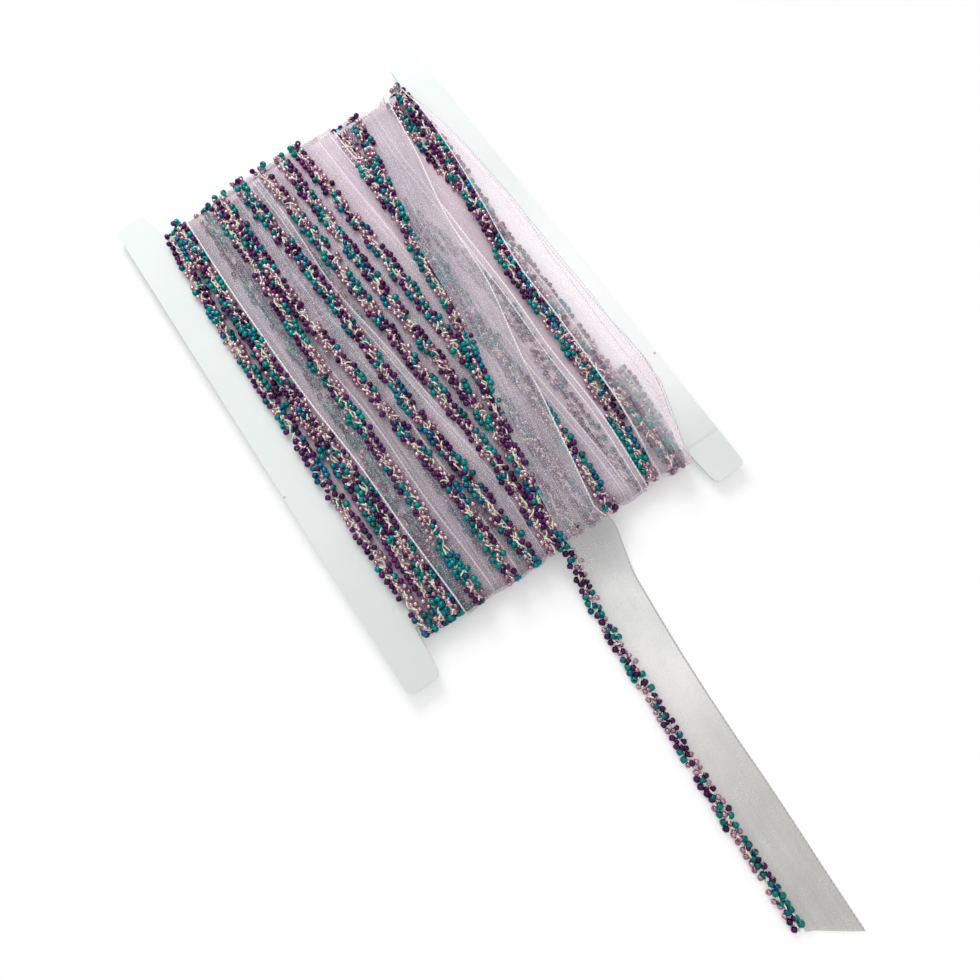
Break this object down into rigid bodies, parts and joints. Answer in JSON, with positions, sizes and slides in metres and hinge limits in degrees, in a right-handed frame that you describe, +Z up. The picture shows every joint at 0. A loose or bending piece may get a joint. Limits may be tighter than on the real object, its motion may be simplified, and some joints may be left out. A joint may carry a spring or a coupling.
{
  "type": "beaded ribbon trim wound on a card",
  "caption": "Sheer mauve ribbon trim with a teal and plum seed-bead edging, wound round a flat white H-shaped card, with a loose end lying beside it.",
  "frame": {"origin": "bottom centre of the whole object's box, loose end included, on the plane that it rests on", "axes": "+X across the card towards its right flange, +Y along the card away from the loose end, +Z up out of the front of the winding"},
  "size_m": [0.118, 0.295, 0.0101],
  "materials": {
    "card_white": "smooth white card with a faint satin sheen",
    "trim_mauve": "sheer mauve organza in layers, with rows of teal and plum seed beads on cream thread",
    "ribbon_sheer": "sheer plain-woven organza with a fine sparkle and a bright selvedge",
    "beading_teal_plum": "glossy opaque and metallic seed beads, 2 mm, crocheted on cream thread"
  },
  "bodies": {
    "root": {"card": "card_white", "wound_trim": "trim_mauve", "loose_end": "ribbon_sheer", "loose_end_beading": "beading_teal_plum"}
  },
  "joints": []
}
